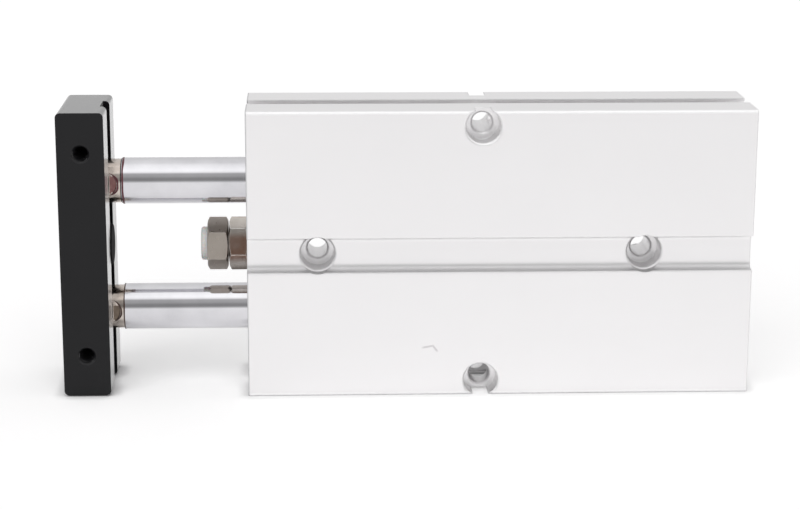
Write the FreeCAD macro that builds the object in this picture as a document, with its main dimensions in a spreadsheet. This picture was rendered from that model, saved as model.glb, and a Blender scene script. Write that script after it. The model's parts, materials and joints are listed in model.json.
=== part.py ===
"""Guided pneumatic cylinder: two parallel rods drive one end plate.

Every sub-part is drawn from the middle of the body's front end face, with X along the rods
(the plate lies at negative X), Y across the body's depth and Z up its height. Its Placement then
moves it to the shared frame, whose origin is the centre of the footprint.
"""
import FreeCAD, Part
import os
import re

import Sketcher

DIMENSIONS = [
    ("stroke", 50, "travel of the rods between their two ends"),
    ("plate_gap", 29.5, "opening between plate and body as drawn"),
    ("body_height", 62, "wide face, across both bores"),
    ("body_depth", 25, "narrow side"),
    ("edge_round", 0.6, "long outer edges of the body"),
    ("groove_width", 7.4, "centre groove of each wide face"),
    ("groove_depth", 2.4, "centre groove of each wide face"),
    ("groove_round", 1.2, "fillet in the bottom of the centre groove"),
    ("groove_edge", 0.2, "rounded edges of the centre groove"),
    ("slot_mouth", 5.2, "sensor slot between its lips"),
    ("slot_lip", 0.6, "thickness of the sensor slot's lips"),
    ("slot_room", 6.4, "sensor slot under its lips"),
    ("slot_wall", 2.4, "wall between a sensor slot and the bore behind it"),
    ("slot_round", 1.2, "fillet in the bottom of the sensor slot"),
    ("bore", 20, "diameter of each cylinder bore"),
    ("rod_pitch", 28, "distance between the two rods"),
    ("rod", 10, "diameter of each rod"),
    ("fit", 0.02, "radial gap of pieces that stay put"),
    ("run", 0.04, "radial gap of pieces that slide or turn"),
    ("end_gap", 0.3, "gap left at each end of the travel"),
    ("break_edge", 0.3, "small chamfers"),
    ("front_hole_inset", 15, "first centre hole from the front face"),
    ("rear_hole_inset", 23, "second centre hole from the rear face"),
    ("outer_hole_inset", 3.25, "outer holes from the narrow sides"),
    ("mount_hole", 4.3, "through holes of the body"),
    ("mount_sink", 7.3, "counterbore of the through holes"),
    ("mount_lip", 0.4, "bevels at the mouths of the through holes and their counterbores"),
    ("mount_sink_depth", 5, "counterbore below the surface around it"),
    ("clip_inset", 1.6, "bore left open outside each retaining ring"),
    ("clip_thick", 1, "thickness of the retaining rings"),
    ("clip_play", 0.1, "extra width of the ring grooves"),
    ("clip_bite", 0.5, "depth of the ring grooves"),
    ("clip_band", 2, "radial width of the rings opposite their gap"),
    ("clip_thin", 0.6, "how much narrower the rings get towards their gap"),
    ("clip_gap", 1.2, "gap between a ring's two lugs"),
    ("clip_lug", 1.75, "radius of a ring's lugs"),
    ("clip_eye", 0.8, "radius of the holes in the lugs"),
    ("gland_length", 21.3, "rod guide along the bore"),
    ("gland_lip", 1.2, "gland wall in front of the rod seal"),
    ("gland_gap", 0.3, "radial gap between gland and rod"),
    ("rod_seal_length", 3.2, "room for the rod seal"),
    ("rod_seal_wall", 2.6, "radial width of the rod seal"),
    ("bush_wall", 1.25, "radial wall of the rod bush"),
    ("ring_section", 1.8, "cord diameter of the static sealing rings"),
    ("ring_squeeze", 0.3, "how much the groove flattens the cord"),
    ("ring_inset", 2.4, "sealing ring groove from the inner end"),
    ("pad_width", 3.4, "radial width of the cushion rings"),
    ("pad_seat", 0.6, "depth that a cushion ring is let in"),
    ("pad_proud", 1, "height that a cushion ring stands out"),
    ("cap_length", 6.3, "rear cap along the bore"),
    ("cap_dish", 1, "depth of the dish in the rear cap"),
    ("piston_length", 22.4, "piston with both noses"),
    ("piston_gap", 0.2, "radial gap between piston and bore"),
    ("nose_length", 2.5, "narrow nose at each end of the piston"),
    ("nose_step", 2.5, "how much narrower in radius the noses are"),
    ("wear_width", 4, "wear ring along the piston"),
    ("wear_wall", 1.4, "radial width of the wear ring"),
    ("magnet_width", 3.5, "magnet along the piston"),
    ("magnet_wall", 2.8, "radial depth of the magnet's room"),
    ("seal_width", 3, "piston seal along the piston"),
    ("seal_wall", 2.4, "radial width of the piston seal"),
    ("spigot", 8, "rod's end inside the piston"),
    ("tail_thread", 6, "threaded tail of the rod"),
    ("tail_nut", 10, "piston nut across its flats"),
    ("tail_nut_height", 3.2, "piston nut along the rod"),
    ("tail_sink", 3.8, "depth of the nut's room in the piston"),
    ("neck", 9.5, "rod's neck at the plate"),
    ("neck_length", 2.5, "neck outside the plate"),
    ("neck_flats", 8, "spanner flats across the neck"),
    ("flat_length", 1.8, "spanner flats outside the plate"),
    ("flat_cutter", 5.2, "cutter that mills the round end of the flats"),
    ("socket_depth", 3, "rod's neck let into the plate"),
    ("plate_thick", 10, "end plate along the rods"),
    ("plate_height", 61.5, "end plate"),
    ("plate_depth", 23, "end plate"),
    ("plate_round", 1, "corner rounds of the end plate"),
    ("channel_width", 7, "channel down the plate's back"),
    ("channel_depth", 1.4, "channel down the plate's back"),
    ("strike", 9, "diameter of the plate's strike pad"),
    ("strike_seat", 0.6, "strike pad let in below the channel"),
    ("strike_proud", 0.3, "strike pad standing out of the plate's back"),
    ("side_hole_pitch", 44, "threaded holes in the plate, along its height"),
    ("side_hole", 3.3, "tapping size of the plate's side holes"),
    ("side_hole_depth", 8, "plate's side holes"),
    ("load_hole", 4.2, "tapping size of the plate's front holes"),
    ("plate_screw", 5, "screws that hold the plate to the rods"),
    ("plate_screw_hole", 5.5, "clearance hole of the plate screws"),
    ("screw_head", 8.5, "head of the plate screws"),
    ("screw_head_height", 5, "head of the plate screws"),
    ("screw_sink", 9.5, "counterbore of the plate screws"),
    ("screw_key", 4, "hexagon socket of the plate screws"),
    ("screw_key_depth", 2.5, "hexagon socket of the plate screws"),
    ("screw_grip", 9, "plate screw's thread inside the rod"),
    ("stop_thread", 6, "stop bolt"),
    ("stop_flats", 10, "stop bolt's head and lock nut across flats"),
    ("stop_head", 4.4, "height of the stop bolt's head"),
    ("stop_slack", 0.3, "gap between the head and the lock nut"),
    ("lock_height", 4, "lock nut"),
    ("stop_travel", 3, "adjustment of the stop"),
    ("stop_grip", 7, "stop bolt left in the body when it is screwed right out"),
    ("head_turn", -6, "angle of the stop bolt's head"),
    ("lock_turn", -16, "angle of the lock nut"),
    ("tip", 7.25, "diameter of the stop's bumper"),
    ("tip_proud", 1.4, "bumper in front of the head"),
    ("tip_stem", 3.5, "bumper's stem inside the head"),
    ("tip_stem_length", 2.8, "bumper's stem inside the head"),
    ("port", 4.2, "tapping size of the air ports"),
    ("port_depth", 5.5, "air port below its seat"),
    ("port_seat", 9, "flat seat round each port"),
    ("port_lead", 2.5, "air passages from the gland's and the cap's inner ends"),
    ("throat", 1.6, "air passage behind each port"),
    ("gallery", 2, "air passages from bore to bore"),
    ("plug", 3, "diameter of the passage plugs"),
    ("plug_length", 1.8, "passage plugs"),
]
NAMES = {name for name, size, meaning in DIMENSIONS}

DRILL_TIP = 0.6  # length of a drilled hole's cone, as a share of its radius

# Places along X, from the body's front end face.
GLAND_START = "(clip_inset + clip_thick + clip_play)"
GLAND_END = f"({GLAND_START} + gland_length)"
STOP_TIP = "(lock_height + stop_slack + stop_head + tip_proud)"
RETRACT = f"(plate_gap - strike_proud - {STOP_TIP} - end_gap)"
PISTON_FRONT = f"({GLAND_END} + pad_proud + end_gap + stroke - {RETRACT})"
PISTON_BACK = f"({PISTON_FRONT} + piston_length)"
CAP_START = f"({GLAND_END} + 2 * (pad_proud + end_gap) + stroke + piston_length)"
CAP_END = f"({CAP_START} + cap_length)"
BODY_LENGTH = f"({CAP_END} + {GLAND_START})"
REAR_HOLE = f"({BODY_LENGTH} - rear_hole_inset)"
OUTER_HOLE = f"((front_hole_inset + {REAR_HOLE}) / 2)"
PLATE_BACK = "(-plate_gap)"
PLATE_FRONT = "(-plate_gap - plate_thick)"
ROD_START = "(-plate_gap - socket_depth)"
HEAD_FRONT = "(-lock_height - stop_slack - stop_head)"
HEAD_BACK = "(-lock_height - stop_slack)"
STOP_REACH = "(stop_grip + stop_travel)"
LAND = "((piston_length - 2 * nose_length - wear_width - magnet_width - seal_width) / 4)"
PORTS = {"front": f"({GLAND_END} + port_lead)", "rear": f"({CAP_START} - port_lead)"}

# The shared frame's origin and the two rods' heights.
TO_FRAME = f"((plate_gap + plate_thick - {BODY_LENGTH}) / 2)"
MID_HEIGHT = "(body_height / 2)"
SLOT_FLOOR = "(rod_pitch / 2 + bore / 2 + slot_wall)"
LEVELS = {"upper": "(rod_pitch / 2)", "lower": "(-rod_pitch / 2)"}

doc = FreeCAD.newDocument("guided_cylinder")
dim = doc.addObject("Spreadsheet::Sheet", "dim")
for row, (name, size, meaning) in enumerate(DIMENSIONS, start=1):
    dim.set(f"A{row}", meaning)
    dim.set(f"B{row}", str(size))
    dim.setAlias(f"B{row}", name)
doc.recompute()
pieces = []


def formula(text):
    """Point each dimension that a formula names at its cell of the sheet."""
    return re.sub(r"[a-z_]+", lambda word: f"dim.{word[0]}" if word[0] in NAMES else word[0], str(text))


def value(text):
    return float(dim.evalExpression(formula(text)))


def bind(thing, setting, text):
    thing.setExpression(setting, formula(text))


def place(piece, across="0", up="0"):
    """Move a piece from its own drawing to its place in the shared frame."""
    bind(piece, "Placement.Base.x", TO_FRAME)
    bind(piece, "Placement.Base.y", across)
    bind(piece, "Placement.Base.z", f"{MID_HEIGHT} + {up}")
    pieces.append(piece)


def new_body(label):
    body = doc.addObject("PartDesign::Body", label)
    body.Label = label
    return body


def sketch_on(body, role, at=("0", "0", "0"), turn="0"):
    """Start a sketch on one of the body's own planes, shifted in that plane and along its normal."""
    sketch = body.newObject("Sketcher::SketchObject", f"{body.Label}_sketch")
    plane = next(item for item in body.Origin.OriginFeatures if item.Role == role)
    sketch.AttachmentSupport = [(plane, "")]
    sketch.MapMode = "FlatFace"
    for axis, shift in zip("xyz", at):
        bind(sketch, f"AttachmentOffset.Base.{axis}", shift)
    bind(sketch, "AttachmentOffset.Rotation.Angle", turn)
    return sketch


def outline(sketch, corners):
    """Draw a closed outline whose corners are bound to the sheet."""
    points = [FreeCAD.Vector(value(across), value(up), 0) for across, up in corners]
    for index, point in enumerate(points):
        sketch.addGeometry(Part.LineSegment(point, points[(index + 1) % len(points)]))
    for index in range(len(points)):
        sketch.addConstraint(Sketcher.Constraint("Coincident", index, 2, (index + 1) % len(points), 1))
    for index, corner in enumerate(corners):
        for kind, text in zip(("DistanceX", "DistanceY"), corner):
            number = sketch.addConstraint(Sketcher.Constraint(kind, -1, 1, index, 1, value(text)))
            bind(sketch, f"Constraints[{number}]", text)


def circles(sketch, rounds):
    """Draw circles, each given as its centre's two places and its diameter."""
    for index, (across, up, diameter) in enumerate(rounds):
        centre = FreeCAD.Vector(value(across), value(up), 0)
        sketch.addGeometry(Part.Circle(centre, FreeCAD.Vector(0, 0, 1), value(diameter) / 2))
        for kind, text in (("DistanceX", across), ("DistanceY", up)):
            number = sketch.addConstraint(Sketcher.Constraint(kind, -1, 1, index, 3, value(text)))
            bind(sketch, f"Constraints[{number}]", text)
        number = sketch.addConstraint(Sketcher.Constraint("Diameter", index, value(diameter)))
        bind(sketch, f"Constraints[{number}]", diameter)


def hexagon(sketch, flats):
    """Draw a hexagon with two of its flats square to the sketch's first axis."""
    point, shoulder = f"({flats}) / sqrt(3)", f"({flats}) / sqrt(12)"
    half = f"({flats}) / 2"
    outline(sketch, [(half, f"-{shoulder}"), (half, shoulder), ("0", point),
                     (f"-{half}", shoulder), (f"-{half}", f"-{shoulder}"), ("0", f"-{point}")])


def pad(body, sketch, length):
    feature = body.newObject("PartDesign::Pad", f"{body.Label}_pad")
    feature.Profile = (sketch, [""])
    bind(feature, "Length", length)
    doc.recompute()
    return feature


def checked(body, feature, before, sign):
    """Stop if a feature added or removed nothing."""
    doc.recompute()
    if (body.Shape.Volume - before) * sign <= 0:
        raise ValueError(f"{feature.Name} does not change {body.Label}")
    return feature


def pocket(body, sketch, length, forwards=True):
    """Cut a sketch into the body, along its plane's normal unless told otherwise."""
    before = body.Shape.Volume
    feature = body.newObject("PartDesign::Pocket", f"{body.Label}_pocket")
    feature.Profile = (sketch, [""])
    feature.Reversed = forwards
    bind(feature, "Length", length)
    return checked(body, feature, before, -1)


def turn_cut(body, sketch):
    """Cut the ring or hole that an outline makes about its sketch's first axis."""
    before = body.Shape.Volume
    feature = body.newObject("PartDesign::Groove", f"{body.Label}_groove")
    feature.Profile = (sketch, [""])
    feature.ReferenceAxis = (sketch, ["H_Axis"])
    feature.Angle = 360
    return checked(body, feature, before, -1)


def turn_add(body, corners):
    """Add the round solid that an outline of (place, radius) corners makes about the body's X axis."""
    sketch = sketch_on(body, "XZ_Plane")
    outline(sketch, corners)
    feature = body.newObject("PartDesign::Revolution", f"{body.Label}_turned")
    feature.Profile = (sketch, [""])
    feature.ReferenceAxis = (sketch, ["H_Axis"])
    feature.Angle = 360
    doc.recompute()
    return feature


def hole_along_x(body, corners, across="0", up="0"):
    sketch = sketch_on(body, "XZ_Plane", ("0", up, f"-({across})"))
    outline(sketch, corners)
    return turn_cut(body, sketch)


def hole_along_y(body, corners, along, up="0"):
    sketch = sketch_on(body, "YZ_Plane", ("0", up, along))
    outline(sketch, corners)
    return turn_cut(body, sketch)


def edges_where(feature, wanted):
    """Name the feature's edges that a test picks by their middle and direction."""
    names = []
    for number, edge in enumerate(feature.Shape.Edges, start=1):
        start, end = edge.Vertexes[0].Point, edge.Vertexes[-1].Point
        if wanted(edge.CenterOfMass, end - start, edge.Curve):
            names.append(f"Edge{number}")
    return names


def dress(body, kind, setting, feature, names, size):
    """Round or bevel edges of the body's latest feature."""
    dressing = body.newObject(f"PartDesign::{kind}", f"{body.Label}_{kind.lower()}")
    dressing.Base = (feature, names)
    bind(dressing, setting, size)
    doc.recompute()
    return dressing


def bevelled(start, end, inner, outer, bevel):
    """Outline of a ring whose two outer corners are bevelled."""
    return [(start, inner), (start, f"{outer} - {bevel}"), (f"{start} + {bevel}", outer),
            (f"{end} - {bevel}", outer), (end, f"{outer} - {bevel}"), (end, inner)]


def cushioned(start, end, inner, outer):
    """Outline of a soft ring with all four corners bevelled."""
    corner = "ring_squeeze"
    return [(start, f"{inner} + {corner}"), (start, f"{outer} - {corner}"), (f"{start} + {corner}", outer),
            (f"{end} - {corner}", outer), (end, f"{outer} - {corner}"), (end, f"{inner} + {corner}"),
            (f"{end} - {corner}", inner), (f"{start} + {corner}", inner)]


def turned(label, corners, up="0"):
    body = new_body(label)
    turn_add(body, corners)
    place(body, up=up)
    return body


def beside(face_across, face_up, along_x):
    """Test for an edge along X that runs at one of the four mirrored places (across, up)."""
    across, up = value(face_across), value(face_up)

    def wanted(middle, run, curve):
        at_place = abs(abs(middle.y) - across) < 1e-3 and abs(abs(middle.z) - up) < 1e-3
        return at_place and abs(abs(run.x) - along_x) < 1e-3
    return wanted


def housing():
    """Extruded block with two bores, centre grooves, sensor slots and through holes."""
    body = new_body("body")
    side, top = "body_depth / 2", "body_height / 2"
    slot_corner = f"min(slot_round; ({top} - slot_lip - {SLOT_FLOOR}) / 2)"
    quarter = [
        (f"{side} - groove_depth", "groove_width / 2"), (side, "groove_width / 2"), (side, top),
        ("slot_mouth / 2", top), ("slot_mouth / 2", f"{top} - slot_lip"),
        ("slot_room / 2", f"{top} - slot_lip"), ("slot_room / 2", SLOT_FLOOR)]
    section = []
    for across_sign, up_sign in ((1, 1), (-1, 1), (-1, -1), (1, -1)):
        corners = quarter if across_sign == up_sign else quarter[::-1]
        section += [(f"{across_sign} * ({across})", f"{up_sign} * ({up})") for across, up in corners]
    sketch = sketch_on(body, "YZ_Plane")
    outline(sketch, section)
    block = pad(body, sketch, BODY_LENGTH)
    length = value(BODY_LENGTH)
    for across, up, size in ((side, top, "edge_round"),
                             (f"{side} - groove_depth", "groove_width / 2", "groove_round"),
                             (side, "groove_width / 2", "groove_edge"),
                             ("slot_room / 2", SLOT_FLOOR, slot_corner)):
        block = dress(body, "Fillet", "Radius", block, edges_where(block, beside(across, up, length)), size)

    ring_room = "clip_thick + clip_play"
    for start, diameter, depth in (
            ("0", "bore", BODY_LENGTH),
            ("clip_inset", "bore + 2 * clip_bite", ring_room),
            (f"{BODY_LENGTH} - {GLAND_START}", "bore + 2 * clip_bite", ring_room)):
        sketch = sketch_on(body, "YZ_Plane", ("0", "0", start))
        circles(sketch, [("0", level, diameter) for level in LEVELS.values()])
        block = pocket(body, sketch, depth)

    def bore_mouth(middle, run, curve):
        at_end = min(abs(middle.x), abs(middle.x - length)) < 1e-3
        return at_end and isinstance(curve, Part.Circle) and abs(curve.Radius - value("bore / 2")) < 1e-3
    dress(body, "Chamfer", "Size", block, edges_where(block, bore_mouth), "break_edge")

    hole_along_x(body, blind_hole("0", "stop_thread / 2", f"{STOP_REACH} + 2 * end_gap"))
    groove_floor = f"({side} - groove_depth)"
    outer_level, outside = f"({top} - outer_hole_inset)", f"({side} + break_edge)"
    for along, up, surface in (("front_hole_inset", "0", groove_floor), (REAR_HOLE, "0", groove_floor),
                               (OUTER_HOLE, outer_level, side), (OUTER_HOLE, f"-{outer_level}", side)):
        seat = f"({surface} - mount_sink_depth)"
        half = [(outside, "0"), (outside, "mount_sink / 2 + mount_lip"),
                (surface, "mount_sink / 2 + mount_lip"), (f"{surface} - mount_lip", "mount_sink / 2"),
                (seat, "mount_sink / 2"), (seat, "mount_hole / 2 + mount_lip"),
                (f"{seat} - mount_lip", "mount_hole / 2")]
        mirrored = [(f"-({depth})", radius) for depth, radius in half[::-1]]
        hole_along_y(body, half + mirrored, along, up)
    for along in PORTS.values():
        port_end = f"({groove_floor} - port_depth)"
        hole_along_y(body, [
            (outside, "0"), (outside, "port_seat / 2"), (groove_floor, "port_seat / 2"),
            (groove_floor, "port / 2 + break_edge"), (f"{groove_floor} - break_edge", "port / 2"),
            (port_end, "port / 2"), (f"{port_end} - {DRILL_TIP} * (port - throat) / 2", "throat / 2"),
            ("0", "throat / 2"), ("0", "0")], along)
    for diameter, depth in (("gallery", f"{SLOT_FLOOR} + rod_pitch / 2 - bore / 4"),
                            ("plug", "plug_length + fit")):
        sketch = sketch_on(body, "XY_Plane", ("0", "0", f"-{SLOT_FLOOR}"))
        circles(sketch, [(along, "0", diameter) for along in PORTS.values()])
        pocket(body, sketch, depth)
    place(body)


def blind_hole(start, radius, depth, towards=1):
    """Outline of a drilled hole with a bevelled mouth and a conical end."""
    edge, end = f"{start} + {towards} * break_edge", f"{start} + {towards} * ({depth})"
    return [(start, "0"), (start, f"{radius} + break_edge"), (edge, radius), (end, radius),
            (f"{end} + {towards} * {DRILL_TIP} * ({radius})", "0")]


def glands(side, level):
    """Rod guide with its bush and seals, held in the bore by a retaining ring."""
    outer, shaft = "(bore / 2 - fit)", "(rod / 2)"
    seal_front = f"({GLAND_START} + gland_lip)"
    seal_back = f"({seal_front} + rod_seal_length)"
    bush_front = f"({seal_back} + gland_lip)"
    ring_end = f"({GLAND_END} - ring_inset)"
    ring_start = f"({ring_end} - ring_section - 2 * ring_squeeze)"
    ring_floor = f"({outer} - ring_section + ring_squeeze)"
    pad_inner = f"({shaft} + gland_gap + bush_wall)"
    pad_outer = f"({pad_inner} + pad_width)"
    pad_floor = f"({GLAND_END} - pad_seat)"
    passage = f"({shaft} + gland_gap)"
    turned(f"gland_{side}", [
        (GLAND_START, f"{passage} + break_edge"), (GLAND_START, f"{outer} - break_edge"),
        (f"{GLAND_START} + break_edge", outer), (ring_start, outer), (ring_start, ring_floor),
        (ring_end, ring_floor), (ring_end, outer), (GLAND_END, outer), (GLAND_END, pad_outer),
        (pad_floor, pad_outer), (pad_floor, f"{shaft} + run + bush_wall"),
        (bush_front, f"{shaft} + run + bush_wall"), (bush_front, passage), (seal_back, passage),
        (seal_back, f"{shaft} + rod_seal_wall"), (seal_front, f"{shaft} + rod_seal_wall"),
        (seal_front, passage), (f"{GLAND_START} + break_edge", passage)], level)
    turned(f"gland_ring_{side}", cushioned(
        f"({ring_start} + fit)", f"({ring_end} - fit)", f"({ring_floor} + fit)", outer), level)
    lip_front, lip_back = f"({seal_front} + fit)", f"({seal_back} - fit)"
    inner, seat = f"({shaft} + run)", f"({shaft} + rod_seal_wall - fit)"
    middle, lip = f"({inner} + {seat}) / 2", f"({seat} - {inner}) / 4"
    turned(f"rod_seal_{side}", [
        (lip_front, f"{inner} + ring_squeeze"), (lip_front, seat), (lip_back, seat),
        (lip_back, f"{seat} - {lip}"), (f"{lip_back} - rod_seal_length / 2", middle),
        (lip_back, f"{inner} + {lip}"), (lip_back, inner), (f"{lip_front} + ring_squeeze", inner)], level)
    turned(f"rod_bush_{side}", [
        (bush_front, inner), (bush_front, f"{inner} + bush_wall - fit"),
        (pad_floor, f"{inner} + bush_wall - fit"), (pad_floor, inner)], level)
    turned(f"front_pad_{side}", cushioned(
        pad_floor, f"({GLAND_END} + pad_proud)", f"({shaft} + gland_gap + ring_squeeze)",
        f"({pad_outer} - fit)"), level)


def caps(side, level):
    """Closed rear cap with its sealing ring and its cushion."""
    outer = "(bore / 2 - fit)"
    ring_start = f"({CAP_START} + ring_inset)"
    ring_end = f"({ring_start} + ring_section + 2 * ring_squeeze)"
    ring_floor = f"({outer} - ring_section + ring_squeeze)"
    pad_outer = "(rod / 2 + gland_gap + bush_wall + pad_width)"
    pad_floor = f"({CAP_START} + pad_seat)"
    turned(f"rear_cap_{side}", [
        (pad_floor, "0"), (pad_floor, pad_outer), (CAP_START, pad_outer), (CAP_START, outer),
        (ring_start, outer), (ring_start, ring_floor), (ring_end, ring_floor), (ring_end, outer),
        (f"{CAP_END} - break_edge", outer), (CAP_END, f"{outer} - break_edge"),
        (CAP_END, f"{outer} / 2 + cap_dish"), (f"{CAP_END} - cap_dish", f"{outer} / 2"),
        (f"{CAP_END} - cap_dish", "0")], level)
    turned(f"cap_ring_{side}", cushioned(
        f"({ring_start} + fit)", f"({ring_end} - fit)", f"({ring_floor} + fit)", outer), level)
    pad_front, pad_side = f"({CAP_START} - pad_proud)", f"({pad_outer} - fit)"
    turned(f"rear_pad_{side}", [
        (pad_front, "0"), (pad_front, f"{pad_side} - ring_squeeze"),
        (f"{pad_front} + ring_squeeze", pad_side), (pad_floor, pad_side), (pad_floor, "0")], level)


def clip(label, start, level, lugs_up):
    """Retaining ring: an open band that narrows towards two eyed lugs."""
    body = new_body(label)
    outer = "(bore / 2 + clip_bite - fit)"
    toward = "1" if lugs_up else "-1"
    band = sketch_on(body, "YZ_Plane", ("0", "0", start))
    circles(band, [("0", "0", f"2 * {outer}"),
                   ("0", f"{toward} * clip_thin / 2", f"2 * ({outer} - clip_band + clip_thin / 2)")])
    pad(body, band, "clip_thick")
    lug_out = f"({outer} - clip_bite - clip_lug)"
    lug_side = "(clip_lug + clip_gap / 6)"
    for diameter in ("2 * clip_lug", "2 * clip_eye"):
        spots = sketch_on(body, "YZ_Plane", ("0", "0", start))
        circles(spots, [(f"{sign} * {lug_side}", f"{toward} * {lug_out}", diameter) for sign in (-1, 1)])
        if diameter == "2 * clip_lug":
            pad(body, spots, "clip_thick")
        else:
            pocket(body, spots, "clip_thick")
    opening = sketch_on(body, "YZ_Plane", ("0", "0", start))
    near, far = f"{toward} * ({lug_out} - 2 * clip_lug)", f"{toward} * ({outer} + clip_lug)"
    outline(opening, [("-clip_gap / 2", near), ("clip_gap / 2", near), ("clip_gap / 2", far),
                      ("-clip_gap / 2", far)])
    pocket(body, opening, "clip_thick")
    place(body, up=level)


def rods(side, level):
    """Rod with a necked front end, spanner flats, and a stepped tail for the piston."""
    neck_end = "(-plate_gap + neck_length)"
    tail_start, tail_end = f"({PISTON_BACK} - tail_sink)", f"({PISTON_BACK} - end_gap)"
    hole_end = f"({ROD_START} + screw_grip + plate_screw / 2)"
    body = turned(f"rod_{side}", [
        (ROD_START, "plate_screw / 2"), (ROD_START, "neck / 2 - break_edge"),
        (f"{ROD_START} + break_edge", "neck / 2"), (neck_end, "neck / 2"),
        (f"{neck_end} + (rod - neck) / 2", "rod / 2"), (PISTON_FRONT, "rod / 2"),
        (PISTON_FRONT, "spigot / 2"), (tail_start, "spigot / 2"), (tail_start, "tail_thread / 2"),
        (f"{tail_end} - break_edge", "tail_thread / 2"), (tail_end, "tail_thread / 2 - break_edge"),
        (tail_end, "0"), (f"{hole_end} + {DRILL_TIP} * plate_screw / 2", "0"),
        (hole_end, "plate_screw / 2")], level)
    mill = "(-plate_gap + flat_length - flat_cutter / 2)"
    for sign in (1, -1):
        flat = sketch_on(body, "XZ_Plane", ("0", "0", f"{sign} * neck_flats / 2"))
        circles(flat, [(mill, "0", "flat_cutter")])
        pocket(body, flat, "(neck - neck_flats) / 2 + fit", forwards=sign > 0)


def pistons(side, level):
    """Two-piece piston that clamps a magnet ring and carries a wear ring and a seal."""
    outer = "(bore / 2 - piston_gap)"
    nose = f"({outer} - nose_step)"
    slide = "(bore / 2 - run)"
    hub = "(spigot / 2 + fit)"
    front_shoulder, back_shoulder = f"({PISTON_FRONT} + nose_length)", f"({PISTON_BACK} - nose_length)"
    wear = (f"({front_shoulder} + {LAND})", f"({front_shoulder} + {LAND} + wear_width)")
    magnet = (f"({wear[1]} + {LAND})", f"({wear[1]} + {LAND} + magnet_width)")
    seal = (f"({magnet[1]} + {LAND})", f"({magnet[1]} + {LAND} + seal_width)")
    joint = f"({magnet[0]} + magnet_width / 2)"
    wear_floor, magnet_floor = f"({outer} - wear_wall)", f"({outer} - magnet_wall)"
    seal_floor = f"({outer} - seal_wall)"
    sink, sink_floor = "(tail_nut / sqrt(3) + gland_gap)", f"({PISTON_BACK} - tail_sink)"
    turned(f"piston_front_{side}", [
        (PISTON_FRONT, hub), (PISTON_FRONT, nose), (front_shoulder, nose), (front_shoulder, outer),
        (wear[0], outer), (wear[0], wear_floor), (wear[1], wear_floor), (wear[1], outer),
        (magnet[0], outer), (magnet[0], magnet_floor), (joint, magnet_floor), (joint, hub)], level)
    turned(f"piston_rear_{side}", [
        (joint, hub), (joint, magnet_floor), (magnet[1], magnet_floor), (magnet[1], outer),
        (seal[0], outer), (seal[0], seal_floor), (seal[1], seal_floor), (seal[1], outer),
        (back_shoulder, outer), (back_shoulder, nose), (PISTON_BACK, nose), (PISTON_BACK, sink),
        (sink_floor, sink), (sink_floor, hub)], level)
    turned(f"wear_ring_{side}", bevelled(
        f"({wear[0]} + fit)", f"({wear[1]} - fit)", f"({wear_floor} + fit)", slide, "ring_squeeze"), level)
    turned(f"magnet_{side}", bevelled(
        magnet[0], magnet[1], f"({magnet_floor} + fit)", outer, "ring_squeeze"), level)
    start, end, waist = f"({seal[0]} + fit)", f"({seal[1]} - fit)", f"({slide} - 2 * ring_squeeze)"
    inside = f"({seal_floor} + fit)"
    turned(f"piston_seal_{side}", [
        (start, inside), (start, f"{slide} - ring_squeeze"), (f"{start} + ring_squeeze", slide),
        (f"({start} + {end}) / 2", waist), (f"{end} - ring_squeeze", slide),
        (end, f"{slide} - ring_squeeze"), (end, inside)], level)
    nut(f"piston_nut_{side}", sink_floor, "tail_nut_height", "tail_nut", "tail_thread / 2 + fit", level)


def hex_body(label, start, height, flats, turn="0"):
    """Hexagonal blank whose corners are bevelled at both ends."""
    body = new_body(label)
    sketch = sketch_on(body, "YZ_Plane", ("0", "0", start), turn)
    hexagon(sketch, flats)
    pad(body, sketch, height)
    point, end = f"({flats}) / sqrt(3)", f"({start} + {height})"
    bevel = f"({point} - ({flats}) / 2)"
    for face, inward in ((start, 1), (end, -1)):
        hole_along_x(body, [
            (face, f"({flats}) / 2"), (face, f"{point} + {bevel}"),
            (f"{face} + {inward} * {bevel}", f"{point} + {bevel}")])
    return body


def nut(label, start, height, flats, hole_radius, level="0", turn="0"):
    body = hex_body(label, start, height, flats, turn)
    end = f"({start} + {height})"
    hole_along_x(body, [
        (start, "0"), (start, f"{hole_radius} + break_edge"), (f"{start} + break_edge", hole_radius),
        (f"{end} - break_edge", hole_radius), (end, f"{hole_radius} + break_edge"), (end, "0")])
    place(body, up=level)


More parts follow.
